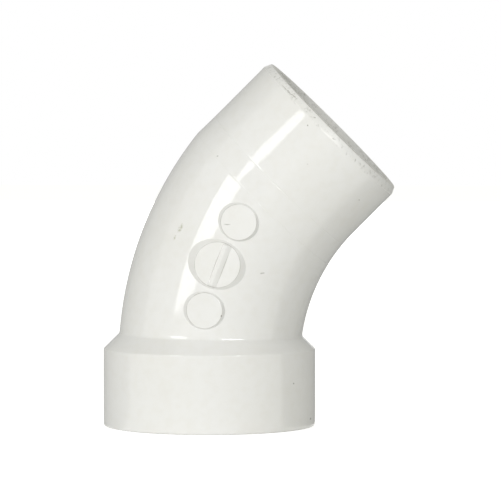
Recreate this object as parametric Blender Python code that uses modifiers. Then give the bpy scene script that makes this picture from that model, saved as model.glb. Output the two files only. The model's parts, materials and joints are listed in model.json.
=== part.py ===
"""A 45 degree street elbow for 1-1/2 in drain pipe, moulded in white PVC.

One end is a belled socket that takes a glued pipe, the other a spigot of pipe size.
The moulding is divided at its own edges and witness lines into named sections.
The hub stands on its mouth with a vertical axis, the bend lies in the XZ plane and
leans towards +X, and the gate side faces -Y. Lengths are in metres.
"""

import math

import bmesh
import bpy
from mathutils import Matrix, Vector

# The pipe size that the spigot copies and the socket receives
PIPE_OD = 0.04826
SPIGOT_WALL = 0.00368

# Socket hub: a glue socket that narrows inwards, closed by a conical shoulder
SOCKET_MOUTH_CLEARANCE = 0.00033
SOCKET_BOTTOM_PINCH = 0.00015
SOCKET_DEPTH = 0.0175
SOCKET_LEAD_IN = 0.0008
STOP_THICKNESS = 0.0010
HUB_WALL = 0.0042
HUB_PAST_STOP = 0.0037
SHOULDER_HEIGHT = 0.0033
LIP_WALL = 0.0007
LIP_HEIGHT = 0.0014
MOUTH_ROUND = 0.0010
SHOULDER_ROUND = 0.0018
LIP_ROUND = 0.0012

# Bend: a tube turned about a line parallel to Y, starting at the pipe stop
BEND_WALL = 0.00405
BEND_RADIUS = 0.0736
BEND_ANGLE = math.radians(45)

# Spigot and its collar, measured along the spigot from the end of the bend
SPIGOT_LENGTH = 0.0163
TIP_BEVEL_LENGTH = 0.0019
TIP_BEVEL_DEPTH = 0.0009
COLLAR_START = 0.0108
COLLAR_END = 0.0043
COLLAR_STEP = 0.0001

# Raised discs in a row beside the bend's front crest, the gate's disc in the middle
PAD_SPACING = 0.0124
PAD_ASIDE = 0.0004
GATE_BELOW_MIDDLE = 0.0004
EJECTOR_PAD_RADIUS = 0.0047
EJECTOR_PAD_HEIGHT = 0.0004
EJECTOR_PAD_DRAFT = math.radians(38)
GATE_PAD_RADIUS = 0.0060
GATE_PAD_HEIGHT = 0.0005
GATE_PAD_DRAFT = math.radians(45)
GATE_BAR_WIDTH = 0.0024
GATE_BAR_LENGTH = 0.0118
GATE_BAR_HEIGHT = 0.0007
GATE_BAR_ROUND = 0.0003

# Clearance left between two sections that meet
SEAM = 0.0001

# Facets
ROUND_STEPS = 56
BEND_STEPS = 18
COLLAR_STEPS = 3
ARC_STEPS = 3
PAD_STEPS = 36
MERGE_DISTANCE = 0.00001

# Finish
WHITE_PVC = (0.84, 0.84, 0.81, 1.0)
PVC_ROUGHNESS = 0.28

# Radii and places that follow from the sizes above
SPIGOT_RADIUS = PIPE_OD / 2
BORE_RADIUS = SPIGOT_RADIUS - SPIGOT_WALL
BEND_OUTER = BORE_RADIUS + BEND_WALL
MOUTH_RADIUS = (PIPE_OD + SOCKET_MOUTH_CLEARANCE) / 2
SOCKET_BOTTOM_RADIUS = (PIPE_OD - SOCKET_BOTTOM_PINCH) / 2
HUB_RADIUS = MOUTH_RADIUS + HUB_WALL
LIP_RADIUS = BEND_OUTER + LIP_WALL
SEAT_HEIGHT = SOCKET_DEPTH + STOP_THICKNESS
HUB_HEIGHT = SOCKET_DEPTH + HUB_PAST_STOP
SHOULDER_TOP = HUB_HEIGHT + SHOULDER_HEIGHT
LIP_TOP = SHOULDER_TOP + LIP_HEIGHT
BEND_CENTRE = Vector((BEND_RADIUS, 0, SOCKET_DEPTH))
BEND_AXIS = Vector((0, 1, 0))

# The spigot runs tangent to the bend's inner side, so its axis sits this far inside
# the end of the bend's centreline
SPIGOT_OFFSET = BEND_OUTER - SPIGOT_RADIUS

# Angles along the bend: where its crest leaves the hub's lip and meets the collar, and the discs
LIP_ANGLE = math.asin((LIP_TOP - SOCKET_DEPTH) / BEND_RADIUS)
COLLAR_ANGLE = BEND_ANGLE - math.asin(COLLAR_START / BEND_RADIUS)
GATE_ANGLE = (LIP_ANGLE + COLLAR_ANGLE) / 2 - GATE_BELOW_MIDDLE / BEND_RADIUS
PAD_ANGLE_STEP = PAD_SPACING / BEND_RADIUS


def on_bend(angle):
    """Point of the bend's centreline at an angle from the pipe stop."""
    return BEND_CENTRE + BEND_RADIUS * Vector((-math.cos(angle), 0, math.sin(angle)))


SPIGOT_DIRECTION = Vector((math.sin(BEND_ANGLE), 0, math.cos(BEND_ANGLE)))
BEND_INWARD = Vector((math.cos(BEND_ANGLE), 0, -math.sin(BEND_ANGLE)))
SPIGOT_ORIGIN = on_bend(BEND_ANGLE) + SPIGOT_OFFSET * BEND_INWARD


def reach_towards_x():
    """Largest X of the bevelled tip, measured from the hub's axis."""
    shoulder = (SPIGOT_LENGTH - TIP_BEVEL_LENGTH) * SPIGOT_DIRECTION + SPIGOT_RADIUS * BEND_INWARD
    tip = SPIGOT_LENGTH * SPIGOT_DIRECTION + (SPIGOT_RADIUS - TIP_BEVEL_DEPTH) * BEND_INWARD
    return SPIGOT_ORIGIN.x + max(shoulder.x, tip.x)


def clear_scene():
    """Remove what a new file holds."""
    for item in list(bpy.data.objects):
        bpy.data.objects.remove(item)


def new_collection(name):
    """Collection linked to the scene."""
    collection = bpy.data.collections.new(name)
    bpy.context.scene.collection.children.link(collection)
    return collection


def new_frame(name, collection, parent=None):
    """Empty that carries a group of sections."""
    frame = bpy.data.objects.new(name, None)
    frame.parent = parent
    collection.objects.link(frame)
    return frame


def white_pvc(name):
    """Glossy white PVC."""
    material = bpy.data.materials.new(name)
    material.use_nodes = True
    shader = material.node_tree.nodes["Principled BSDF"]
    shader.inputs["Base Color"].default_value = WHITE_PVC
    shader.inputs["Roughness"].default_value = PVC_ROUGHNESS
    shader.inputs["Metallic"].default_value = 0.0
    return material


def new_object(name, bm, collection, parent):
    """Object from a bmesh, shaded smooth over its round stretches."""
    mesh = bpy.data.meshes.new(name)
    bm.to_mesh(mesh)
    bm.free()
    mesh.shade_smooth()
    mesh.set_sharp_from_angle(angle=math.radians(30))
    piece = bpy.data.objects.new(name, mesh)
    piece.parent = parent
    collection.objects.link(piece)
    return piece


def new_section(name, bm, collection, parent):
    """Visible section with its own material."""
    section = new_object(name, bm, collection, parent)
    section.data.materials.append(white_pvc(name + "_pvc"))
    return section


def rounded(corners):
    """Closed outline from (radius, height, rounding) corners, with arcs in place of corners."""
    points = []
    for index, (x, z, rounding) in enumerate(corners):
        corner = Vector((x, z))
        if rounding == 0:
            points.append(corner)
            continue
        before = (Vector(corners[index - 1][:2]) - corner).normalized()
        after = (Vector(corners[(index + 1) % len(corners)][:2]) - corner).normalized()
        half_angle = before.angle(after) / 2
        centre = corner + (before + after).normalized() * rounding / math.sin(half_angle)
        start = corner + before * rounding / math.tan(half_angle) - centre
        sweep = start.angle_signed(corner + after * rounding / math.tan(half_angle) - centre)
        for step in range(ARC_STEPS + 1):
            points.append(centre + Matrix.Rotation(-sweep * step / ARC_STEPS, 2) @ start)
    return points


def turned(name, corners, collection, parent):
    """Ring turned about Z from a closed outline that runs down its outer side."""
    bm = bmesh.new()
    verts = [bm.verts.new((point.x, 0, point.y)) for point in rounded(corners)]
    for index, vert in enumerate(verts):
        bm.edges.new((verts[index - 1], vert))
    section = new_section(name, bm, collection, parent)
    screw = section.modifiers.new("turn", "SCREW")
    screw.axis = "Z"
    screw.angle = math.tau
    screw.steps = ROUND_STEPS
    screw.render_steps = ROUND_STEPS
    screw.use_merge_vertices = True
    screw.merge_threshold = MERGE_DISTANCE
    return section


def circle(bm, radius, matrix):
    """Ring of edges, given by its points in order."""
    made = bmesh.ops.create_circle(bm, segments=ROUND_STEPS, radius=radius, matrix=matrix)
    return made["verts"]


def everything(bm):
    """All geometry of a bmesh."""
    return bm.verts[:] + bm.edges[:] + bm.faces[:]


def trim(bm, point, away):
    """Cut off what lies past a plane and close the cut, round any hole in it."""
    cut = bmesh.ops.bisect_plane(
        bm, geom=everything(bm), plane_co=point, plane_no=away, clear_outer=True)
    edges = [item for item in cut["geom_cut"] if isinstance(item, bmesh.types.BMEdge)]
    bmesh.ops.triangle_fill(bm, edges=edges, use_beauty=True)


def spun_bend(radii):
    """Solid made by carrying a disc, or a ring of two radii, from the pipe stop round the bend."""
    bm = bmesh.new()
    for radius in radii:
        circle(bm, radius, Matrix.Translation((0, 0, SOCKET_DEPTH)))
    bmesh.ops.triangle_fill(bm, edges=bm.edges, use_beauty=True)
    bmesh.ops.spin(
        bm, geom=everything(bm), cent=BEND_CENTRE, axis=BEND_AXIS,
        angle=BEND_ANGLE, steps=BEND_STEPS, use_duplicate=False)
    return bm


def cutter(piece):
    """Mark a piece as a cutting shape."""
    piece.hide_render = True
    piece.display_type = "WIRE"
    return piece


def cut_by(section, shape, name):
    """Subtract a cutting shape."""
    boolean = section.modifiers.new(name, "BOOLEAN")
    boolean.operation = "DIFFERENCE"
    boolean.object = shape


def make_bend_clearance(cutters, parent):
    """Solid bend, a seam larger than the tube, that makes room for it in its neighbours."""
    bm = spun_bend([BEND_OUTER + SEAM])
    trim(bm, (0, 0, SEAT_HEIGHT), (0, 0, -1))
    bmesh.ops.recalc_face_normals(bm, faces=bm.faces)
    return cutter(new_object("bend_clearance", bm, cutters, parent))


def make_end_clearance(name, bottom, top, cutters, parent):
    """Solid cylinder over one end of the bend, where no disc may reach."""
    bm = bmesh.new()
    bmesh.ops.create_cone(
        bm, cap_ends=True, segments=ROUND_STEPS, radius1=HUB_RADIUS, radius2=HUB_RADIUS,
        depth=top - bottom, matrix=Matrix.Translation((0, 0, (bottom + top) / 2)))
    return cutter(new_object(name, bm, cutters, parent))


def make_socket_hub(parts, parent, bend_clearance):
    """Belled socket with a tapered bore, a pipe stop and a conical shoulder."""
    corners = [
        (LIP_RADIUS, LIP_TOP, 0),
        (LIP_RADIUS, SHOULDER_TOP, LIP_ROUND),
        (HUB_RADIUS, HUB_HEIGHT, SHOULDER_ROUND),
        (HUB_RADIUS, 0, MOUTH_ROUND),
        (MOUTH_RADIUS + SOCKET_LEAD_IN, 0, 0),
        (MOUTH_RADIUS, SOCKET_LEAD_IN, 0),
        (SOCKET_BOTTOM_RADIUS, SOCKET_DEPTH, 0),
        (BORE_RADIUS, SOCKET_DEPTH, 0),
        (BORE_RADIUS, LIP_TOP, 0),
    ]
    hub = turned("socket_hub", corners, parts, parent)
    cut_by(hub, bend_clearance, "room_for_bend")


def make_bend(parts, parent):
    """Swept tube from the seat above the pipe stop to the collar."""
    bm = spun_bend([BEND_OUTER, BORE_RADIUS])
    trim(bm, (0, 0, SEAT_HEIGHT + SEAM), (0, 0, -1))
    trim(bm, on_bend(BEND_ANGLE) - COLLAR_START * SPIGOT_DIRECTION, SPIGOT_DIRECTION)
    bmesh.ops.recalc_face_normals(bm, faces=bm.faces)
    new_section("bend", bm, parts, parent)


def bend_reach(radius, before_end):
    """How far a line of the bend lies from the end of its centreline, across the spigot.

    The line goes round the bend's centre at the given radius. It is met in the plane
    square to the spigot, the given distance before the end of the bend.
    """
    return BEND_RADIUS - math.sqrt(radius ** 2 - before_end ** 2)


def oval(bm, before_end, inner_reach, outer_reach, half_height):
    """Oval ring square to the spigot, between two reaches measured from its axis."""
    middle = (inner_reach + outer_reach) / 2
    half_width = (inner_reach - outer_reach) / 2
    place = Matrix.Translation((middle, 0, -before_end))
    return circle(bm, 1, place @ Matrix.Diagonal((half_width, half_height, 1, 1)))


def skin(bm, rings):
    """Faces from each ring to the next, and from the last ring back to the first."""
    for index, ring in enumerate(rings):
        before = rings[index - 1]
        for side in range(ROUND_STEPS):
            bm.faces.new((before[side - 1], before[side], ring[side], ring[side - 1]))


def collar_rings(bm, bend_wall_radius, spigot_wall_radius):
    """Rings from the bend's oval section to the spigot's round one.

    The inner side keeps to the bend and the outer side to the spigot's straight line.
    """
    rings = []
    outer_start = bend_reach(BEND_RADIUS + bend_wall_radius, COLLAR_START) - SPIGOT_OFFSET
    for step in range(COLLAR_STEPS + 1):
        share = step / COLLAR_STEPS
        before_end = COLLAR_START - SEAM + share * (COLLAR_END + SEAM - COLLAR_START)
        on_arc = bend_reach(BEND_RADIUS - bend_wall_radius, before_end) - SPIGOT_OFFSET
        inner_reach = on_arc + share * (spigot_wall_radius - on_arc)
        outer_reach = outer_start + share * (-spigot_wall_radius - outer_start)
        half_height = bend_wall_radius + share * (spigot_wall_radius - bend_wall_radius)
        rings.append(oval(bm, before_end, inner_reach, outer_reach, half_height))
    return rings


def make_spigot_collar(parts, spigot_frame):
    """Loft between the bend and the spigot, with the waterway through it."""
    bm = bmesh.new()
    outer = collar_rings(bm, BEND_OUTER, SPIGOT_RADIUS + COLLAR_STEP)
    bore = collar_rings(bm, BORE_RADIUS, BORE_RADIUS)
    skin(bm, outer + bore[::-1])
    bmesh.ops.recalc_face_normals(bm, faces=bm.faces)
    new_section("spigot_collar", bm, parts, spigot_frame)


def make_spigot(parts, spigot_frame):
    """Straight pipe-size end with a bevelled tip."""
    corners = [
        (SPIGOT_RADIUS - TIP_BEVEL_DEPTH, SPIGOT_LENGTH, 0),
        (SPIGOT_RADIUS, SPIGOT_LENGTH - TIP_BEVEL_LENGTH, 0),
        (SPIGOT_RADIUS, -COLLAR_END, 0),
        (BORE_RADIUS, -COLLAR_END, 0),
        (BORE_RADIUS, SPIGOT_LENGTH, 0),
    ]
    turned("spigot", corners, parts, spigot_frame)


def stand_on_crest(piece, angle):
    """Place a piece on the bend's front crest with its local Z pointing out of the wall."""
    piece.location = on_bend(angle) - BEND_OUTER * BEND_AXIS
    piece.rotation_euler = (math.pi / 2, angle, 0)


def make_pad(name, angle, radius, height, draft, parts, parent, clearances):
    """Flat raised disc with a drafted wall, whose underside follows the bend."""
    bm = bmesh.new()
    sink = BEND_OUTER - math.sqrt(BEND_OUTER ** 2 - (2 * radius) ** 2)
    depth = height + sink
    bmesh.ops.create_cone(
        bm, cap_ends=True, segments=PAD_STEPS, depth=depth, radius2=radius,
        radius1=radius + depth * math.tan(draft),
        matrix=Matrix.Translation((-PAD_ASIDE, 0, height - depth / 2)))
    pad = new_section(name, bm, parts, parent)
    stand_on_crest(pad, angle)
    for clearance in clearances:
        cut_by(pad, clearance, clearance.name)


def make_gate_bar(parts, parent):
    """Bar left by the trimmed gate, lying along the bend on the gate pad."""
    bm = bmesh.new()
    size = Matrix.Diagonal((GATE_BAR_WIDTH, GATE_BAR_LENGTH, GATE_BAR_HEIGHT, 1))
    middle = GATE_PAD_HEIGHT + SEAM + GATE_BAR_HEIGHT / 2
    bmesh.ops.create_cube(bm, size=1, matrix=Matrix.Translation((0, 0, middle)) @ size)
    bar = new_section("gate_bar", bm, parts, parent)
    stand_on_crest(bar, GATE_ANGLE)
    bevel = bar.modifiers.new("soft_edges", "BEVEL")
    bevel.width = GATE_BAR_ROUND
    bevel.segments = 2


def main():
    """Build the elbow."""
    clear_scene()
    parts = new_collection("street_elbow")
    cutters = new_collection("cutters")
    elbow_frame = new_frame("elbow_frame", parts)
    elbow_frame.location.x = -(reach_towards_x() - HUB_RADIUS) / 2
    spigot_frame = new_frame("spigot_frame", parts, elbow_frame)
    spigot_frame.location = SPIGOT_ORIGIN
    spigot_frame.rotation_euler.y = BEND_ANGLE

    bend_clearance = make_bend_clearance(cutters, elbow_frame)
    make_socket_hub(parts, elbow_frame, bend_clearance)
    make_bend(parts, elbow_frame)
    make_spigot_collar(parts, spigot_frame)
    make_spigot(parts, spigot_frame)

    hub_clearance = make_end_clearance("hub_clearance", 0, LIP_TOP + SEAM, cutters, elbow_frame)
    spigot_clearance = make_end_clearance(
        "spigot_clearance", -COLLAR_START, SPIGOT_LENGTH, cutters, spigot_frame)
    clearances = [bend_clearance, hub_clearance, spigot_clearance]
    ejector_shape = (EJECTOR_PAD_RADIUS, EJECTOR_PAD_HEIGHT, EJECTOR_PAD_DRAFT)
    gate_shape = (GATE_PAD_RADIUS, GATE_PAD_HEIGHT, GATE_PAD_DRAFT)
    for name, angle, shape in (
            ("lower_ejector_pad", GATE_ANGLE - PAD_ANGLE_STEP, ejector_shape),
            ("gate_pad", GATE_ANGLE, gate_shape),
            ("upper_ejector_pad", GATE_ANGLE + PAD_ANGLE_STEP, ejector_shape)):
        make_pad(name, angle, *shape, parts, elbow_frame, clearances)
    make_gate_bar(parts, elbow_frame)


main()
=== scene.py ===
# %% [markdown]
# # A 45 degree street elbow, moulded in white PVC
#
# The object is one glossy white moulding: a belled socket at the bottom, a bend of 45 degrees
# and a spigot of pipe size at the top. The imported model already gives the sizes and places.
# This lesson lays a fine skin over it, piece by piece, and then finishes and lights it.
# Each skin is a formula on a grid of numbers, so that a reader can follow every curve.

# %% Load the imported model
import json
import math

import bpy
import numpy as np
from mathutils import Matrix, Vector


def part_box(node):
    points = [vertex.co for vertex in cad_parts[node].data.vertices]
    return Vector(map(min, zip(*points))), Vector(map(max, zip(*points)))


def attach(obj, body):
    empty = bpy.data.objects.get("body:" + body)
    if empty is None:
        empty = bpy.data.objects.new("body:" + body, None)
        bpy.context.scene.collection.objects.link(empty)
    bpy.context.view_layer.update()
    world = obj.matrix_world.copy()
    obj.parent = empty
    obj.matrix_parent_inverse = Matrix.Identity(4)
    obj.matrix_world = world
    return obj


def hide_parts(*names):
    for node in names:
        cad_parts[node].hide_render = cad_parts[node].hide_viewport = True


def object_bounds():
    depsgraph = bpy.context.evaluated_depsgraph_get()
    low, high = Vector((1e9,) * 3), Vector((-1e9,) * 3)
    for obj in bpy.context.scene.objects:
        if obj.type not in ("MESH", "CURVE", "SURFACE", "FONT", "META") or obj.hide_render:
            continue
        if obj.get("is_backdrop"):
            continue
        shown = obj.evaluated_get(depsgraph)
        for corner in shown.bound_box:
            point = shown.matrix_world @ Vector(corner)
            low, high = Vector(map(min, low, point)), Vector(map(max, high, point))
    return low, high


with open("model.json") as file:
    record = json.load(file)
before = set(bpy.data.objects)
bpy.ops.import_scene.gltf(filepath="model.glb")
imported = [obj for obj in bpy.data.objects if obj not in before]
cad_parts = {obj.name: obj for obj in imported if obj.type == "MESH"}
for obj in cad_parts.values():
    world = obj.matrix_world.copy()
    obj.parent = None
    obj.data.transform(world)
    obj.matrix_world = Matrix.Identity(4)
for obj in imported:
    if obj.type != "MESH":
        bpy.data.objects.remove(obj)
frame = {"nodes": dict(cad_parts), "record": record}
cad_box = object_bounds()
print("pieces of the packed model:", sorted(frame["nodes"]))

# %% [markdown]
# ## Sizes
#
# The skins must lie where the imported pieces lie, so the sizes are measured on them and not
# typed again. The boxes of the pieces give the radii. The mounts give the pipe stop's height
# and the middle of the spigot's tip. The bend's radius could be typed too, but it follows from
# these: seen along the spigot, the tip lies aside of the hub's axis by an amount that only the
# bend can make.

# %% Read the main sizes
MM = 0.001
mounts = {mount["name"]: mount for mount in frame["record"]["mounts"]}


def half_depth(node):
    """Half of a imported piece's extent along Y."""
    low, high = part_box(node)
    return (high.y - low.y) / 2


hub_low, hub_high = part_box("socket_hub")
HUB_X = (hub_low.x + hub_high.x) / 2
HUB_RADIUS = half_depth("socket_hub")
BEND_OUTER = half_depth("bend")
SPIGOT_RADIUS = half_depth("spigot")
STOP_HEIGHT = mounts["pipe_stop"]["pos_m"][2]
SPIGOT_OFFSET = BEND_OUTER - SPIGOT_RADIUS

tip_axis = mounts["spigot_tip"]["axis"]
SIN, COS = tip_axis[0], tip_axis[2]
BEND_ANGLE = math.atan2(SIN, COS)
tip_run = mounts["spigot_tip"]["pos_m"][0] - HUB_X
tip_rise = mounts["spigot_tip"]["pos_m"][2] - STOP_HEIGHT
BEND_RADIUS = (SPIGOT_OFFSET - tip_run * COS + tip_rise * SIN) / (1 - COS)
SPIGOT_LENGTH = tip_run * SIN + tip_rise * COS - BEND_RADIUS * SIN
END_X = HUB_X + BEND_RADIUS * (1 - COS)
END_Z = STOP_HEIGHT + BEND_RADIUS * SIN
print(f"bend radius {BEND_RADIUS / MM:.2f} mm, spigot {SPIGOT_LENGTH / MM:.2f} mm past the bend")

# %% [markdown]
# ## From a grid of points to a mesh
#
# Every section of the elbow is a ring with a wall: go up its outside, over its end, down its
# bore and back to the start, and do that at every angle round the tube. That is a grid which
# closes on itself both ways, like the skin of a doughnut. Blender's Screw tool could turn a plain
# profile, but the bend's sections aren't round about one axis, so the points are computed here.

# %% Columns of the grid, and a mesh from its rows
COLUMNS = 320
PARTING_CROWDING = 0.8
SHARP_ANGLE = math.radians(40)

turn = np.arange(COLUMNS) / COLUMNS * math.tau
theta = turn - PARTING_CROWDING / 2 * np.sin(2 * turn)


def grid_faces(rows, columns, closed):
    """Quads between neighbouring rows; the columns, and if closed the rows, join end to start."""
    row, column = np.indices((rows if closed else rows - 1, columns))
    after = (row + 1) % rows * columns
    beside = (column + 1) % columns
    here = row * columns
    quads = [here + column, after + column, after + beside, here + beside]
    return np.stack(quads, axis=-1).reshape(-1, 4)


def new_piece(name, grid, closed=True):
    """Smooth mesh from a grid of points; where the rows stay open, the first and last get a lid."""
    rows, columns = grid.shape[:2]
    points = grid.reshape(-1, 3)
    faces = grid_faces(rows, columns, closed)
    lids = [] if closed else [np.arange(columns), np.arange(columns)[::-1] + (rows - 1) * columns]
    mesh = bpy.data.meshes.new(name)
    mesh.from_pydata(points.tolist(), [], faces.tolist() + [lid.tolist() for lid in lids])
    mesh.shade_smooth()
    mesh.set_sharp_from_angle(angle=SHARP_ANGLE)
    piece = bpy.data.objects.new(name, mesh)
    bpy.context.scene.collection.objects.link(piece)
    print(f"{name}: {rows} rows of {columns} points, {len(mesh.polygons)} faces")
    return piece


# %% [markdown]
# ## Soft corners and soft meetings
#
# Nothing on a moulding is truly sharp. Two small tools make that: an outline whose corners are
# rounded off, for what is turned about an axis, and a smooth maximum, for one surface that runs
# into another. The smooth maximum equals the larger of two heights, and near the place where they
# meet it adds a small bump that fills the corner like a fillet.

# %% Rounded outlines and the smooth maximum
CORNER_STEPS = 7


def soft_profile(corners):
    """Outline through (radius, height, softness) corners, whose ends stay as they are.

    Each corner in between becomes a parabola: its two tangent points, a softness away, and the
    corner itself, weighted by (1-t)^2, t^2 and 2t(1-t).
    """
    places = np.array([corner[:2] for corner in corners])
    softness = np.array([corner[2] for corner in corners[1:-1]])[:, None]
    middle = places[1:-1]
    back, ahead = places[:-2] - middle, places[2:] - middle
    start = middle + back / np.linalg.norm(back, axis=1, keepdims=True) * softness
    end = middle + ahead / np.linalg.norm(ahead, axis=1, keepdims=True) * softness
    t = np.linspace(0, 1, CORNER_STEPS)[None, :, None]
    curve = (1 - t) ** 2 * start[:, None] + 2 * t * (1 - t) * middle[:, None] + t ** 2 * end[:, None]
    return np.concatenate([places[:1], curve.reshape(-1, 2), places[-1:]])


def smooth_max(a, b, width):
    """The larger of a and b, plus h^2 * width / 4 where they differ by (1 - h) * width or less."""
    h = np.maximum(width - np.abs(a - b), 0) / width
    return np.maximum(a, b) + h ** 2 * width / 4


def smooth_min(a, b, width):
    """The smaller of a and b, rounded off in the same way."""
    return -smooth_max(-a, -b, width)


# %% [markdown]
# ## Points on the bend
#
# The bend is a tube carried along an arc about a line parallel to Y. Its skin needs to be known
# in three ways: at a given angle along the arc, at a given height, where it leaves the level hub,
# and in a plane square to the spigot, where the collar begins. All three use the same distance
# from the arc's centre, the bend radius plus the tube's radius times the cosine of the angle
# round the tube. Angle zero is the outer side of the bend.

# %% The bend's skin, by arc angle and by height
def stacked(x, y, z):
    """Points from their coordinates, each of which is repeated to fill the grid."""
    return np.stack(np.broadcast_arrays(x, y, z), axis=-1)


def turned(radius, height):
    """Rings about the hub's axis: x = -r cos(theta), y = r sin(theta)."""
    return stacked(HUB_X - radius * np.cos(theta), radius * np.sin(theta), height)


def reach(radius):
    """Distance of each line of the tube from the arc's centre."""
    return BEND_RADIUS + radius * np.cos(theta)


def bend_skin(angle, radius):
    """Point of the tube at an angle along the arc: the reach turned about the arc's centre."""
    x = HUB_X + BEND_RADIUS - reach(radius) * np.cos(angle)
    z = STOP_HEIGHT + reach(radius) * np.sin(angle)
    return stacked(x, radius * np.sin(theta), z)


def angle_at_height(height, radius):
    """Arc angle at which each line of the tube passes a level: sine = rise / reach."""
    return np.arcsin(np.maximum(height - STOP_HEIGHT, 0) / reach(radius))


def angle_before_end(distance, radius):
    """Arc angle at which each line passes a plane square to the spigot, before the bend's end."""
    return BEND_ANGLE - np.arcsin(distance / reach(radius))


# %% [markdown]
# ## The socket hub
#
# The hub is the belled end that a pipe is glued into. Inside, it narrows slightly to a ledge that
# stops the pipe. Outside, a plain wall ends in a cone, and the cone meets the bend's tube in a
# fillet. The tube leans as it rises, so this fillet isn't a turned shape. At each height and
# angle the skin takes the smooth maximum of two distances from the hub's axis: the turned hub's
# and the leaning tube's. The two halves of the mould also left a fine ridge along both sides,
# and the columns are crowded there so that the grid can carry it.

# %% Build the hub
WALL = 3.68 * MM
BORE_RADIUS = SPIGOT_RADIUS - WALL
SOCKET_MOUTH = SPIGOT_RADIUS + 0.165 * MM
SOCKET_BOTTOM = SPIGOT_RADIUS - 0.075 * MM
LEAD_IN = 0.8 * MM
HUB_HEIGHT = STOP_HEIGHT + 3.3 * MM
CONE_HEIGHT = 3.95 * MM
CONE_STEP = HUB_RADIUS - BEND_OUTER
CONE_ROUND = 0.15 * MM
FILLET = 0.2 * MM
FLARE = 0.11 * MM
FLARE_WIDTH = 0.85 * MM
MOUTH_ROUND = 0.7 * MM
WALL_START = 3 * MM
HUB_TOP = 26.9 * MM
RIDGE_HEIGHT = 0.035 * MM
RIDGE_WIDTH = 0.16 * MM
SOFT_EDGE = 0.25 * MM
SHOULDER_START = HUB_HEIGHT - 2 * MM
BORE_END = STOP_HEIGHT + 0.5 * MM
LEDGE_TOP = STOP_HEIGHT + 0.4 * MM
PLAIN_ROWS = 16
SHOULDER_ROWS = 110
HUB_BORE_ROWS = 24

ridge = RIDGE_HEIGHT * np.exp(-(BEND_OUTER * np.sin(theta) / RIDGE_WIDTH) ** 2)


def hub_outside(height):
    """Skin of the hub: the smooth maximum of the turned hub and of the tube, along each direction.

    Just above the fillet the tube flares a little, by (1 - distance from the cone / width)^2.
    """
    tube = bend_skin(angle_at_height(height, BEND_OUTER), BEND_OUTER)
    x, y = tube[..., 0] - HUB_X, tube[..., 1]
    tube_distance = np.hypot(x, y)
    cone = HUB_RADIUS - (height - HUB_HEIGHT) * CONE_STEP / CONE_HEIGHT
    hub_distance = smooth_min(HUB_RADIUS, cone, CONE_ROUND)
    flare = FLARE * np.clip(1 - (tube_distance - hub_distance) / FLARE_WIDTH, 0, 1) ** 2
    stretch = (smooth_max(hub_distance, tube_distance + flare, FILLET) + ridge) / tube_distance
    return stacked(HUB_X + x * stretch, y * stretch, height)


plain_wall = np.linspace(WALL_START, SHOULDER_START, PLAIN_ROWS)
shoulder = np.linspace(SHOULDER_START, HUB_TOP, SHOULDER_ROWS)[1:]
outside = hub_outside(np.concatenate([plain_wall, shoulder])[:, None])
bore_heights = np.linspace(HUB_TOP, BORE_END, HUB_BORE_ROWS)[:, None]
bore = bend_skin(angle_at_height(bore_heights, BORE_RADIUS), BORE_RADIUS)
socket = soft_profile([
    (BORE_RADIUS, LEDGE_TOP),
    (BORE_RADIUS, STOP_HEIGHT, SOFT_EDGE),
    (SOCKET_BOTTOM, STOP_HEIGHT, SOFT_EDGE),
    (SOCKET_MOUTH, LEAD_IN, SOFT_EDGE),
    (SOCKET_MOUTH + LEAD_IN, 0, SOFT_EDGE),
    (HUB_RADIUS, 0, MOUTH_ROUND),
    (HUB_RADIUS, 2 * MOUTH_ROUND),
])
mouth = turned(socket[:, :1], socket[:, 1:])
hub = new_piece("hub_skin", np.concatenate([outside, bore, mouth]))

# %% [markdown]
# ## The bend
#
# The bend starts level with the top of the hub's fillet, on the very ring where the hub's skin
# ends, so the joint can't be seen. It ends in the plane of the first witness line, the mark that
# the mould's end sleeve leaves. A witness line is a hair-fine groove, and it matters because it
# breaks the bright reflection. The last ring is therefore drawn in by the groove's depth.

# %% Build the bend
COLLAR_START = 10.8 * MM
GROOVE_DEPTH = 0.025 * MM
GROOVE_WIDTH = 0.07 * MM
BEND_ROWS = 120
BEND_BORE_ROWS = 60

bend_start = angle_at_height(HUB_TOP, BEND_OUTER)
bend_end = angle_before_end(COLLAR_START, BEND_OUTER)
groove_share = GROOVE_WIDTH / (BEND_RADIUS * BEND_ANGLE)
share = np.append(np.linspace(0, 1 - groove_share, BEND_ROWS), 1)[:, None]
skin_radius = BEND_OUTER + ridge - GROOVE_DEPTH * (share == 1)
outside = bend_skin(bend_start + share * (bend_end - bend_start), skin_radius)

bore_start = angle_at_height(HUB_TOP, BORE_RADIUS)
bore_end = angle_before_end(COLLAR_START, BORE_RADIUS)
share = np.linspace(1, 0, BEND_BORE_ROWS)[:, None]
bore = bend_skin(bore_start + share * (bore_end - bore_start), BORE_RADIUS)
bend = new_piece("bend_skin", np.concatenate([outside, bore]))

# %% [markdown]
# ## The collar and the spigot
#
# Past the first line the moulding turns into a straight spigot of pipe size. On the outer side it
# is straight at once, which leaves a slight kink. On the inner side it follows the bend until it
# is parallel to the spigot. Both come from one rule: each line of the skin starts at its point on
# the bend and fades into the spigot's cylinder with the square of the distance that is left.
# A second witness line divides the collar from the spigot, and the tip has a bevel that guides
# it into the next socket.

# %% Points along the spigot
def spigot_points(across, y, along):
    """Points by their place across the spigot, towards the bend's inside, along Y and along it."""
    x = END_X + across * COS + along * SIN
    z = END_Z - across * SIN + along * COS
    return stacked(x, y, z)


def spigot_turned(radius, along):
    """Rings about the spigot's axis, which lies a small offset inside the end of the bend."""
    return spigot_points(SPIGOT_OFFSET - radius * np.cos(theta), radius * np.sin(theta), along)


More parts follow.
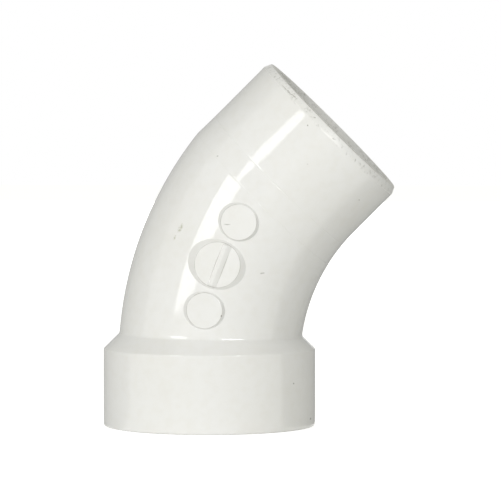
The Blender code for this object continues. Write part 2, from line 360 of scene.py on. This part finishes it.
def flared(along, tube_radius, end_radius):
    """Rings of the end cylinder, plus the gap to the bend's section times (along / start)^2."""
    fade = np.clip(-along / COLLAR_START, 0, 1) ** 2
    tube_across = BEND_RADIUS - np.sqrt(reach(tube_radius) ** 2 - COLLAR_START ** 2)
    across = SPIGOT_OFFSET - end_radius * np.cos(theta)
    y = end_radius * np.sin(theta)
    gap_y = tube_radius * np.sin(theta) - y
    return spigot_points(across + fade * (tube_across - across), y + fade * gap_y, along)


# %% Build the collar and the spigot
COLLAR_END = 4.3 * MM
BEVEL_LENGTH = 1.9 * MM
BEVEL_DEPTH = 0.9 * MM
BEVEL_SOFTNESS = 0.35 * MM
COLLAR_ROWS = 24
COLLAR_BORE_ROWS = 12
SPIGOT_ROWS = 40
SPIGOT_BORE_ROWS = 24


def grooved(along, groove_at):
    """Outer rings, drawn in by the groove's depth at each of the given places."""
    depth = GROOVE_DEPTH * np.isin(along, groove_at)
    return flared(along, BEND_OUTER - depth, SPIGOT_RADIUS - depth)


lines = [-COLLAR_START, -COLLAR_END]
inner_rows = np.linspace(-COLLAR_START + GROOVE_WIDTH, -COLLAR_END - GROOVE_WIDTH, COLLAR_ROWS)
along = np.concatenate([lines[:1], inner_rows, lines[1:]])[:, None]
back_along = np.linspace(-COLLAR_END, -COLLAR_START, COLLAR_BORE_ROWS)[:, None]
bore = flared(back_along, BORE_RADIUS, BORE_RADIUS)
collar = new_piece("collar_skin", np.concatenate([grooved(along, lines), bore]))

bevel_start = SPIGOT_LENGTH - BEVEL_LENGTH
tip = soft_profile([
    (SPIGOT_RADIUS, bevel_start - 4 * BEVEL_SOFTNESS),
    (SPIGOT_RADIUS, bevel_start, BEVEL_SOFTNESS),
    (SPIGOT_RADIUS - BEVEL_DEPTH, SPIGOT_LENGTH, BEVEL_SOFTNESS),
    (BORE_RADIUS, SPIGOT_LENGTH, SOFT_EDGE),
    (BORE_RADIUS, SPIGOT_LENGTH - 3 * SOFT_EDGE),
])
straight_end = bevel_start - 5 * BEVEL_SOFTNESS
straight = np.linspace(-COLLAR_END + GROOVE_WIDTH, straight_end, SPIGOT_ROWS)
along = np.concatenate([lines[1:], straight])[:, None]
tip_rings = spigot_turned(tip[:, :1], tip[:, 1:])
back_along = np.linspace(SPIGOT_LENGTH / 2, -COLLAR_END, SPIGOT_BORE_ROWS)[:, None]
bore = flared(back_along, BORE_RADIUS, BORE_RADIUS)
spigot = new_piece("spigot_skin", np.concatenate([grooved(along, lines), tip_rings, bore]))

# %% [markdown]
# ## The raised discs
#
# Three discs stand on the front of the bend. The small ones are where pins push the moulding out
# of the mould, and the large one is where the melt came in. Each is flat, but the tube curves
# away under it, so its wall is taller at the sides. A cylinder cut by the tube would do, yet the
# drafted wall and its softened rim are easier as rings of points: flat face, rim, then down to a
# foot that is found by asking where the sloping wall dips under the tube.

# %% Build the discs
DISC_COLUMNS = 144
SINK = 0.06 * MM
RIM = 0.14 * MM
FOOT_STEPS = 8
FACE_RINGS = np.linspace(0.3, 0.9, 3)[:, None]
UNDER_RINGS = np.linspace(1, 0.2, 6)[:, None]

around = np.arange(DISC_COLUMNS) / DISC_COLUMNS * math.tau


def crest_place(node):
    """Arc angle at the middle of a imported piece, and how far inside the arc that middle lies."""
    low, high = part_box(node)
    rise = (low.z + high.z) / 2 - STOP_HEIGHT
    run = HUB_X + BEND_RADIUS - (low.x + high.x) / 2
    return math.atan2(rise, run), BEND_RADIUS - math.hypot(rise, run)


def crest_points(angle, inward, upward, depth):
    """Points by their place across and along the bend's crest, and their depth towards the front."""
    sine, cosine = math.sin(angle), math.cos(angle)
    x = HUB_X + BEND_RADIUS * (1 - cosine) + inward * cosine + upward * sine
    z = STOP_HEIGHT + BEND_RADIUS * sine - inward * sine + upward * cosine
    return stacked(x, -depth, z)


def tube_depth(inward, upward):
    """Depth of the tube's front: root of its radius squared less the distance to the arc squared."""
    aside = np.hypot(BEND_RADIUS - inward, upward) - BEND_RADIUS
    return np.sqrt(BEND_OUTER ** 2 - aside ** 2)


def disc(name, node, radius, height, draft):
    """Flat face, softened rim and drafted wall, with an underside just below the tube's skin."""
    angle, inside = crest_place(node)
    face = BEND_OUTER + height
    slope = math.tan(draft)
    foot = np.full(DISC_COLUMNS, radius)
    for _ in range(FOOT_STEPS):
        tube_front = tube_depth(inside + foot * np.cos(around), foot * np.sin(around))
        foot = radius + slope * (face + SINK - tube_front)
    rim = soft_profile([
        (radius - 2 * RIM, face),
        (radius, face, RIM),
        (radius + 2 * RIM * slope, face - 2 * RIM),
    ])
    inner = FACE_RINGS * radius
    under = UNDER_RINGS * foot
    top = np.concatenate([inner, rim[:, :1]]) + 0 * around
    top_depth = np.concatenate([np.full_like(inner, face), rim[:, 1:]]) + 0 * around
    ring = np.concatenate([top, under])
    inward, upward = inside + ring * np.cos(around), ring * np.sin(around)
    under_depth = (tube_depth(inward, upward) - SINK)[len(top):]
    ring_depth = np.concatenate([top_depth, under_depth])
    return new_piece(name, crest_points(angle, inward, upward, ring_depth), closed=False)


EJECTOR_RADIUS = 4.7 * MM
EJECTOR_HEIGHT = 0.4 * MM
EJECTOR_DRAFT = math.radians(38)
GATE_RADIUS = 6.0 * MM
GATE_HEIGHT = 0.5 * MM
GATE_DRAFT = math.radians(45)

ejector_form = (EJECTOR_RADIUS, EJECTOR_HEIGHT, EJECTOR_DRAFT)
lower_disc = disc("lower_ejector_disc", "lower_ejector_pad", *ejector_form)
upper_disc = disc("upper_ejector_disc", "upper_ejector_pad", *ejector_form)
gate_disc = disc("gate_disc", "gate_pad", GATE_RADIUS, GATE_HEIGHT, GATE_DRAFT)

# %% [markdown]
# ## The gate's stub
#
# The bar on the large disc is what is left of the gate after the sprue was broken off. It isn't
# a neat box: one flank is steep and the other slopes. Its section is a short outline, carried
# along the bend, and it shrinks towards both ends so that they are rounded.

# %% Build the stub
STUB_HALF_LENGTH = 5.9 * MM
STUB_HALF_WIDTH = 1.2 * MM
STUB_HEIGHT = 0.7 * MM
STUB_END_ROUND = 0.5 * MM
STUB_SOFTNESS = 0.18 * MM
STEEP_TOP = -0.85 * STUB_HALF_WIDTH
SLOPE_TOP = 0.05 * STUB_HALF_WIDTH
SLOPE_FOOT = 0.1 * STUB_HEIGHT
STUB_ROWS = 30
STUB_END_ROWS = 8
STUB_END_SHARE = 0.1

section = soft_profile([
    (-STUB_HALF_WIDTH, -SINK),
    (STEEP_TOP, STUB_HEIGHT, STUB_SOFTNESS),
    (SLOPE_TOP, STUB_HEIGHT, STUB_SOFTNESS),
    (STUB_HALF_WIDTH, SLOPE_FOOT, STUB_SOFTNESS),
    (STUB_HALF_WIDTH, -SINK),
])
quarter = np.linspace(STUB_END_SHARE, 1, STUB_END_ROWS) * math.pi / 2
end_places = STUB_HALF_LENGTH - STUB_END_ROUND * (1 - np.cos(quarter[::-1]))
middle_places = np.linspace(end_places[0], -end_places[0], STUB_ROWS)[1:-1]
places = np.concatenate([end_places[::-1], middle_places, -end_places])
past = np.clip((np.abs(places) - STUB_HALF_LENGTH + STUB_END_ROUND) / STUB_END_ROUND, 0, 1)
swell = np.sqrt(1 - past ** 2)[:, None]
depth = BEND_OUTER + GATE_HEIGHT + section[:, 1] * swell
bar_angle, bar_inside = crest_place("gate_bar")
inward = bar_inside + section[:, 0] * (0.5 + swell / 2)
stub = new_piece("gate_stub", crest_points(bar_angle, inward, places[:, None], depth), closed=False)

# %% [markdown]
# ## White PVC
#
# The finish looks plain but isn't flat. The white is slightly warm and clouds a little over
# centimetres, the gloss is broken by faint handling marks, and there are a few specks and scuffs,
# most of them round the tip. A picture could hold these, but noise on the object's own coordinates
# runs on from one piece to the next without a seam and looks right from every side.
#
# Shader sums are easier to read as Python, so a small class lets sockets be added and multiplied.

# %% A socket that can be used in sums
class Shade:
    """An output socket of a shader tree; each operator adds the Math node that it stands for."""

    def __init__(self, tree, socket=None):
        self.tree = tree
        self.socket = socket

    def node(self, kind, settings=(), inputs=(), output=0):
        """Add a node: settings first, then the values or links of its inputs; return one output."""
        made = self.tree.nodes.new(kind)
        for name, value in dict(settings).items():
            setattr(made, name, value)
        for key, value in dict(inputs).items():
            if isinstance(value, Shade):
                self.tree.links.new(value.socket, made.inputs[key])
            else:
                made.inputs[key].default_value = value
        return Shade(self.tree, made.outputs[output] if made.outputs else None)

    def math(self, operation, first, second):
        """One Math node on two values or sockets."""
        return self.node("ShaderNodeMath", {"operation": operation}, {0: first, 1: second})

    def __add__(self, other):
        return self.math("ADD", self, other)

    def __sub__(self, other):
        return self.math("SUBTRACT", self, other)

    def __rsub__(self, other):
        return self.math("SUBTRACT", other, self)

    def __mul__(self, other):
        return self.math("MULTIPLY", self, other)

    __radd__ = __add__
    __rmul__ = __mul__

    def larger(self, other):
        """The larger of two values."""
        return self.math("MAXIMUM", self, other)

    def rise(self, start, end):
        """0 before start, 1 past end and a smooth step between."""
        settings = {"interpolation_type": "SMOOTHSTEP"}
        return self.node("ShaderNodeMapRange", settings, {0: self, 1: start, 2: end})

    def noise(self, scale, detail=2.0, roughness=0.5):
        """Noise around 0.5, taken at this position."""
        inputs = {"Vector": self, "Scale": scale, "Detail": detail, "Roughness": roughness}
        return self.node("ShaderNodeTexNoise", (), inputs)

    def tint(self, factor, colour):
        """This colour, moved towards another; a Mix node's colours are inputs 6 and 7, output 2."""
        inputs = {0: factor, 6: self, 7: colour}
        return self.node("ShaderNodeMix", {"data_type": "RGBA"}, inputs, output=2)


# %% [markdown]
# ## Marks of handling
#
# A fitting that has lain in a bin with others has a few dark specks, a greenish scuff on the
# outer side of the bend and scratches where the bevel was knocked. Each mark is a small flattened
# ball in space: a Mapping node moves and turns the coordinates so that the ball's surface is at a
# distance of one, and noise frays its edge. Where the ball meets the skin, the skin is stained.

# %% Masks for single marks and for sparse specks
# dark of dirt and wear, and also of the painted shade round the discs and the stub
GRIME_AND_SHADE = (0.20, 0.19, 0.15, 1.0)
MOSS = (0.42, 0.42, 0.30, 1.0)

# place and half sizes in millimetres, turns about Y and Z in degrees, strength
SPECKS = [
    ((17.4, -23.8, 80.8), (0.24, 0.8, 0.24), (0, 0), 0.80),
    ((-5.2, -24.9, 31.0), (0.22, 0.8, 0.34), (20, 0), 0.85),
    ((-6.7, -19.1, 72.8), (0.34, 0.8, 0.24), (0, 0), 0.45),
    ((30.4, -14.4, 61.2), (0.24, 0.8, 0.24), (0, 0), 0.50),
    ((13.2, -15.6, 12.7), (0.24, 0.8, 0.24), (0, 0), 0.50),
    ((17.1, -6.5, 2.5), (0.32, 1.2, 0.38), (0, 0), 0.60),
    ((5.4, -21.9, 42.1), (0.90, 0.8, 0.22), (-12, 0), 0.50),
    ((-3.6, -24.9, 55.0), (1.10, 0.8, 0.17), (0, 0), 0.55),
    ((19.2, -23.6, 82.9), (0.45, 0.8, 0.24), (45, 0), 0.45),
    ((24.1, -23.7, 77.3), (0.50, 0.8, 0.24), (45, 0), 0.40),
    ((12.4, -19.6, 89.4), (5.20, 0.6, 0.17), (33, -42), 0.45),
    ((17.4, -23.9, 70.7), (0.30, 0.8, 0.20), (0, 0), 0.25),
]
SCUFFS = [
    ((-16.3, -20.3, 53.9), (0.75, 1.4, 1.70), (28, 0), 0.85),
    ((-17.9, -20.0, 51.3), (0.45, 1.2, 0.95), (28, 0), 0.90),
]
MARK_CORE = 0.35
FRAY = 0.5 * MM
FRAY_SCALE = 1600.0


def ball_distance(point, place, half_sizes, turns=(0, 0)):
    """Distance from a flattened ball's middle, which is 1 on its surface."""
    local = point.node("ShaderNodeMapping", {"vector_type": "TEXTURE"}, {
        "Vector": point,
        "Location": [value * MM for value in place],
        "Rotation": (0, math.radians(turns[0]), math.radians(turns[1])),
        "Scale": [value * MM for value in half_sizes],
    })
    return point.node("ShaderNodeVectorMath", {"operation": "LENGTH"}, {0: local}, output="Value")


def ball_mask(point, place, half_sizes, turns, strength):
    """A mark's strength: full in the core of a small ball, fading out at its surface."""
    return strength * (1 - ball_distance(point, place, half_sizes, turns).rise(MARK_CORE, 1.0))


def frayed(point):
    """The position, shaken by up to a quarter of a millimetre each way."""
    pattern = {"Vector": point, "Scale": FRAY_SCALE}
    shake = point.node("ShaderNodeTexNoise", (), pattern, output="Color")
    half = (0.5, 0.5, 0.5)
    centred = point.node("ShaderNodeVectorMath", {"operation": "SUBTRACT"}, {0: shake, 1: half})
    sum_inputs = {0: centred, 1: (FRAY, FRAY, FRAY), 2: point}
    return point.node("ShaderNodeVectorMath", {"operation": "MULTIPLY_ADD"}, sum_inputs)


def all_marks(point, marks):
    """The strongest of several marks at each place."""
    mask = ball_mask(point, *marks[0])
    for mark in marks[1:]:
        mask = mask.larger(ball_mask(point, *mark))
    return mask


# %% [markdown]
# ## Painted shade in the corners
#
# A thin dark line of painted shade runs where a raised shape starts: round each disc and along both
# sides of the stub. For a disc, the line is the shell of a ball as wide as the disc and so deep
# that only its front meets the skin. For the stub it is a long thin ball on each side.

# %% Masks for the corners
RIM_LINE = 0.16 * MM
RIM_BALL_DEPTH = 20.0
STUB_LINE_HALF_SIZES = (0.22, 1.0, 5.6)
STUB_LINE_STRENGTH = 0.32


def middle_in_mm(node):
    """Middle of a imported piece's box, in millimetres."""
    low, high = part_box(node)
    return np.array((low + high) / 2) / MM


def rim_shade_mask(point, node, radius):
    """A line of painted shade, as wide as RIM_LINE on each side of a disc's rim."""
    place = middle_in_mm(node)
    size = radius / MM
    distance = ball_distance(point, place, (size, RIM_BALL_DEPTH, size))
    width = RIM_LINE / radius
    return distance.rise(1 - width, 1) * (1 - distance.rise(1, 1 + width))


def stub_shade_lines():
    """One line of painted shade along each long side of the stub."""
    lean = math.degrees(bar_angle)
    middle = middle_in_mm("gate_bar")
    across = np.array([math.cos(bar_angle), 0, -math.sin(bar_angle)]) * STUB_HALF_WIDTH / MM
    form = (STUB_LINE_HALF_SIZES, (lean, 0), STUB_LINE_STRENGTH)
    return [(middle + side * across, *form) for side in (-1, 1)]


# %% [markdown]
# ## The tip's bevel
#
# The bevel is where fittings knock together, so fine dark scratches gather along its edge and it
# has lost some of its gloss. The flat end face is duller still. A second material could be given
# to those faces, but its border would be hard. Here the distance along the spigot is a dot product
# with the spigot's direction, and masks on it fade in and out over fractions of a millimetre.

# %% Masks for the tip
BEVEL_FADE = 0.5 * MM
END_FADE = 0.2 * MM


def tip_distance(point):
    """Distance past the end of the bend, measured along the spigot."""
    inputs = {0: point, 1: (SIN, 0, COS)}
    ahead = point.node("ShaderNodeVectorMath", {"operation": "DOT_PRODUCT"}, inputs, output="Value")
    return ahead - (END_X * SIN + END_Z * COS)


def tip_masks(point):
    """Masks of the bevel and of the flat end face."""
    along = tip_distance(point)
    past_tip = along.rise(SPIGOT_LENGTH, SPIGOT_LENGTH + MM)
    bevel = along.rise(bevel_start - BEVEL_FADE, bevel_start) * (1 - past_tip)
    end_face = along.rise(SPIGOT_LENGTH - END_FADE, SPIGOT_LENGTH)
    return bevel, end_face


# %% [markdown]
# ## The whole finish
#
# Now the layers go over each other as they did on the real fitting: clean and cream white in wide
# clouds and in a finer mottle, then the scuffs, then all that is dark. The dark layer also holds a
# painted shade line round the discs and the stub. Each pattern is noise, cut off between two levels.
# Hands, knocks and scuffs make the gloss a little duller. A bump of a few hundredths of a millimetre
# lets reflections waver, as they do on moulded plastic.

# %% Put the finish together
CLEAN_WHITE = (0.866, 0.866, 0.858, 1.0)
CREAM_WHITE = (0.815, 0.806, 0.770, 1.0)
GLOSS = 0.07
PVC_IOR = 1.53

# scale per metre, detail, roughness, and the two levels that the noise is cut off between
CLOUDS = (38, 3, 0.5, 0.30, 0.75)
MOTTLE = (420, 2, 0.5, 0.35, 0.80)
SMUDGES = (90, 4, 0.6, 0.45, 0.85)
SCRATCHES = (900, 4, 0.7, 0.52, 0.72)
SCUFF_GRAIN = (1500, 3, 0.7, 0.35, 0.65)
RIM_SHADE_GRAIN = (260, 2, 0.5, 0.15, 0.60)
DUSTY_PLACES = (140, 0, 0.5, 0.66, 0.70)

# scale per metre, detail
WAVES = (60, 1)
GRAIN = (700, 2)
WAVE_HEIGHT = 0.04 * MM
GRAIN_HEIGHT = 0.0015 * MM
SCRATCH_DEPTH = 0.01 * MM
DUST_SCALE = 190.0
DUST_SIZE = (0.03, 0.06)


def patches(point, scale, detail, roughness, start, end):
    """Noise as a mask: 0 below the first level and 1 above the second."""
    return point.noise(scale, detail, roughness).rise(start, end)


def dark_marks_and_shade(point, shaken, scratches, end_face):
    """The strongest of all that darkens the skin, each kind with its own share: specks, dust,
    scratches, a slightly darker end face and painted shade round the discs and the stub.
    """
    dust = point.node("ShaderNodeTexVoronoi", (), {"Vector": point, "Scale": DUST_SCALE})
    fine_specks = (1 - dust.rise(*DUST_SIZE)) * patches(point, *DUSTY_PLACES)
    # Painted shade: a thin dark line round the face of each disc, broken up by noise.
    rim_shades = rim_shade_mask(point, "lower_ejector_pad", EJECTOR_RADIUS)
    rim_shades = rim_shades.larger(rim_shade_mask(point, "gate_pad", GATE_RADIUS))
    rim_shades = rim_shades.larger(rim_shade_mask(point, "upper_ejector_pad", EJECTOR_RADIUS))
    patchy_rim_shade = rim_shades * patches(point, *RIM_SHADE_GRAIN)
    # The stub's two lines of painted shade join the single marks here.
    single = all_marks(shaken, SPECKS).larger(all_marks(point, stub_shade_lines()))
    spread = (0.35 * fine_specks).larger(0.40 * scratches).larger(0.45 * patchy_rim_shade)
    return single.larger(spread).larger(0.15 * end_face)


def white_pvc():
    """Glossy white PVC with faint clouds, handling marks, specks, a scuffed tip and painted shade
    round the raised shapes.
    """
    material = bpy.data.materials.new("white_pvc")
    material.use_nodes = True
    tree = material.node_tree
    shader = tree.nodes["Principled BSDF"]
    point = Shade(tree).node("ShaderNodeTexCoord", output="Object")

    bevel, end_face = tip_masks(point)
    scratches = bevel * patches(point, *SCRATCHES)
    shaken = frayed(point)
    specks_and_shade = dark_marks_and_shade(point, shaken, scratches, end_face)
    scuffs = all_marks(shaken, SCUFFS) * patches(point, *SCUFF_GRAIN)

    white = Shade(tree).node("ShaderNodeRGB")
    white.socket.default_value = CLEAN_WHITE
    cloudy = 0.40 * patches(point, *CLOUDS) + 0.35 * patches(point, *MOTTLE)
    # the dark tint also lays the painted shade round the discs and the stub
    colour = white.tint(cloudy, CREAM_WHITE).tint(scuffs, MOSS).tint(specks_and_shade, GRIME_AND_SHADE)
    smudges = patches(point, *SMUDGES)
    roughness = GLOSS + 0.05 * smudges + 0.25 * bevel + 0.3 * scuffs + 0.6 * end_face
    height = point.noise(*WAVES) * WAVE_HEIGHT + point.noise(*GRAIN) * GRAIN_HEIGHT
    height = height - scratches * SCRATCH_DEPTH
    bump = point.node("ShaderNodeBump", (), {"Strength": 1.0, "Distance": 1.0, "Height": height})

    tree.links.new(colour.socket, shader.inputs["Base Color"])
    tree.links.new(roughness.socket, shader.inputs["Roughness"])
    tree.links.new(bump.socket, shader.inputs["Normal"])
    shader.inputs["IOR"].default_value = PVC_IOR
    print(f"white_pvc: {len(tree.nodes)} nodes")
    return material


# %% [markdown]
# ## Dress the pieces
#
# The elbow is one moulding, so all of its sections share one finish. Each skin rides on the single
# rigid body, stands for its imported piece and takes that finish.

# %% Material, body, slot and imported piece of each skin
stands_for = {
    hub: "socket_hub",
    bend: "bend",
    collar: "spigot_collar",
    spigot: "spigot",
    lower_disc: "lower_ejector_pad",
    gate_disc: "gate_pad",
    stub: "gate_bar",
    upper_disc: "upper_ejector_pad",
}
finish = white_pvc()
for piece, node in stands_for.items():
    piece.data.materials.append(finish)
    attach(piece, "root")
    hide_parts(node)
print(f"{len(stands_for)} skins stand for {len(stands_for)} packed pieces")

# %% [markdown]
# ## Camera
#
# The photograph was taken from nearly level, a little to the right of square on, with a long
# lens. The camera looks at a point near the middle of the elbow from that direction.

# %% Set the camera
CAMERA_AZIMUTH = math.radians(4.7)
CAMERA_ELEVATION = math.radians(2.4)
CAMERA_DISTANCE = 858 * MM
CAMERA_TARGET = np.array([HUB_X + 11.1 * MM, 0, 47.15 * MM])
LENS_LENGTH = 229.2
SENSOR_WIDTH = 36
SIGHT = 20


def direction(azimuth, elevation):
    """Unit vector towards a viewpoint; azimuth 0 is in front, at -Y, and grows towards +X."""
    flat = math.cos(elevation)
    return np.array([math.sin(azimuth) * flat, -math.cos(azimuth) * flat, math.sin(elevation)])


def aim(item, azimuth, elevation, distance, target):
    """Put a camera or lamp at a distance from a target and turn it to face the target."""
    towards = direction(azimuth, elevation)
    item.location = target + distance * towards
    item.rotation_euler = (math.pi / 2 - elevation, 0, azimuth)


camera = bpy.data.objects.new("camera", bpy.data.cameras.new("camera"))
camera.data.lens = LENS_LENGTH
camera.data.sensor_width = SENSOR_WIDTH
camera.data.clip_end = SIGHT
aim(camera, CAMERA_AZIMUTH, CAMERA_ELEVATION, CAMERA_DISTANCE, CAMERA_TARGET)
bpy.context.scene.collection.objects.link(camera)
bpy.context.scene.camera = camera
print("camera at", [round(value, 4) for value in camera.location])

# %% [markdown]
# ## Light
#
# One square softbox stands to the left of the camera, a little above the table: its reflection is
# the bright band along the bend. A broad fill behind the camera and a second one behind the
# object light the rest, and they aren't seen in reflections, so that the gloss shows one clean
# shape. A small strip on the right, a little higher, is seen in reflections only and adds the
# second thin glint where the hub's shoulder meets the bend. The room itself is a dim, slightly
# warm grey.

# %% Set the lamps
def softbox(name, azimuth, elevation, distance, size, strength, gloss=True, light=True):
    """Area lamp facing the object; its power follows from its brightness: pi * area * strength."""
    lamp = bpy.data.lights.new(name, "AREA")
    lamp.shape = "RECTANGLE"
    lamp.size, lamp.size_y = size
    lamp.energy = math.pi * size[0] * size[1] * strength
    item = bpy.data.objects.new(name, lamp)
    item.visible_camera = False
    item.visible_glossy = gloss
    item.visible_diffuse = light
    aim(item, math.radians(azimuth), math.radians(elevation), distance, CAMERA_TARGET)
    bpy.context.scene.collection.objects.link(item)
    print(f"{name}: {lamp.energy:.1f} W")


# azimuth and elevation in degrees, distance and size in metres, brightness
softbox("key_softbox", -35.2, 14.6, 3.0, (1.08, 1.34), 4.3)
softbox("front_fill", 5, 8, 2.2, (1.8, 1.8), 2.5, gloss=False)
softbox("right_strip", 33, 18, 1.0, (0.46, 0.22), 12.0, light=False)
softbox("back_fill", 180, 12, 2.2, (1.8, 1.8), 1.6, gloss=False)

# %% [markdown]
# ## Room and floor
#
# The background is white, but white must not become light: only the rays that show it, those of
# the camera and of reflections, see the white, and the object is lit by the dim room. The floor is
# pale and matt, and gets just enough of its own glow for those rays that it reaches white away from
# the object, while the soft shadow round the foot stays.

# %% Make the room
ROOM_GREY = (0.43, 0.43, 0.395, 1.0)
FLOOR_PAINT = (0.90, 0.90, 0.89, 1.0)
FLOOR_GLOW = 0.62
FLOOR_HALF_SIZE = 3.0


def shown_rays(tree):
    """1 for camera, glossy and transmission rays, which show the background, and 0 for the rest."""
    kinds = ("Is Camera Ray", "Is Glossy Ray", "Is Transmission Ray")
    path = [Shade(tree).node("ShaderNodeLightPath", output=kind) for kind in kinds]
    return path[0].larger(path[1]).larger(path[2])


world = bpy.data.worlds.new("room")
bpy.context.scene.world = world
world.use_nodes = True
tree = world.node_tree
room = Shade(tree).node("ShaderNodeBackground", (), {"Color": ROOM_GREY})
white = Shade(tree).node("ShaderNodeBackground", (), {"Color": (1, 1, 1, 1)})
mix = room.node("ShaderNodeMixShader", (), {0: shown_rays(tree), 1: room, 2: white})
tree.links.new(mix.socket, tree.nodes["World Output"].inputs["Surface"])

paint = bpy.data.materials.new("pale_floor")
paint.use_nodes = True
tree = paint.node_tree
matt = Shade(tree).node("ShaderNodeBsdfDiffuse", (), {"Color": FLOOR_PAINT})
glow = matt.node("ShaderNodeEmission", (), {"Color": (1, 1, 1, 1), "Strength": FLOOR_GLOW})
both = matt.node("ShaderNodeAddShader", (), {0: matt, 1: glow})
mix = matt.node("ShaderNodeMixShader", (), {0: shown_rays(tree), 1: matt, 2: both})
tree.links.new(mix.socket, tree.nodes["Material Output"].inputs["Surface"])

edges = [-FLOOR_HALF_SIZE, FLOOR_HALF_SIZE]
corners = stacked(*np.meshgrid(edges, edges), 0).reshape(-1, 3)
floor_mesh = bpy.data.meshes.new("floor")
floor_mesh.from_pydata(corners.tolist(), [], [(0, 1, 3, 2)])
floor_mesh.materials.append(paint)
floor = bpy.data.objects.new("floor", floor_mesh)
bpy.context.scene.collection.objects.link(floor)
floor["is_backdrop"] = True

# %% [markdown]
# ## Cards
#
# White goods on a white ground lose their edges. A studio puts a grey card on each side of the
# object, out of the picture, and the gloss along the edges then shows the card and not the
# white. Here the cards are seen by reflections only and take no light from the object.

# %% Stand the cards beside the object
CARD_FOOT = 0.0185
CARD_DISTANCE = 0.125
CARD_DEPTH = 0.75
CARD_HEIGHT = 0.5
CARD_LIFT = 0.0005


def grey_card(name, side, brightness):
    """Folded card of an even grey: a foot that lies on the floor and an upright, carried along Y."""
    fold_x = side * np.array([CARD_FOOT, CARD_DISTANCE, CARD_DISTANCE])
    fold_z = np.array([CARD_LIFT, CARD_LIFT, CARD_HEIGHT])
    x, y = np.meshgrid(fold_x, [-CARD_FOOT, CARD_DEPTH])
    points = stacked(x, y, fold_z).reshape(-1, 3)
    mesh = bpy.data.meshes.new(name)
    mesh.from_pydata(points.tolist(), [], [(0, 1, 4, 3), (1, 2, 5, 4)])
    grey = bpy.data.materials.new(name)
    grey.use_nodes = True
    tree = grey.node_tree
    even = Shade(tree).node("ShaderNodeEmission", (), {"Strength": brightness})
    tree.links.new(even.socket, tree.nodes["Material Output"].inputs["Surface"])
    mesh.materials.append(grey)
    card = bpy.data.objects.new(name, mesh)
    card.visible_camera = False
    card.visible_diffuse = False
    card.visible_shadow = False
    bpy.context.scene.collection.objects.link(card)
    card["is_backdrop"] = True


grey_card("right_card", 1, 0.36)
grey_card("left_card", -1, 0.48)
bpy.context.scene.view_settings.view_transform = "Standard"

# %% [markdown]
# ## Sizes of the skins
#
# The skins must keep to the imported sizes. Both boxes are written down for comparison.

# %% Write the sizes and finish
visual_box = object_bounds()
for name, (low, high) in (("packed", cad_box), ("visual", visual_box)):
    print(f"{name} size in mm:", [round(value / MM, 2) for value in high - low])
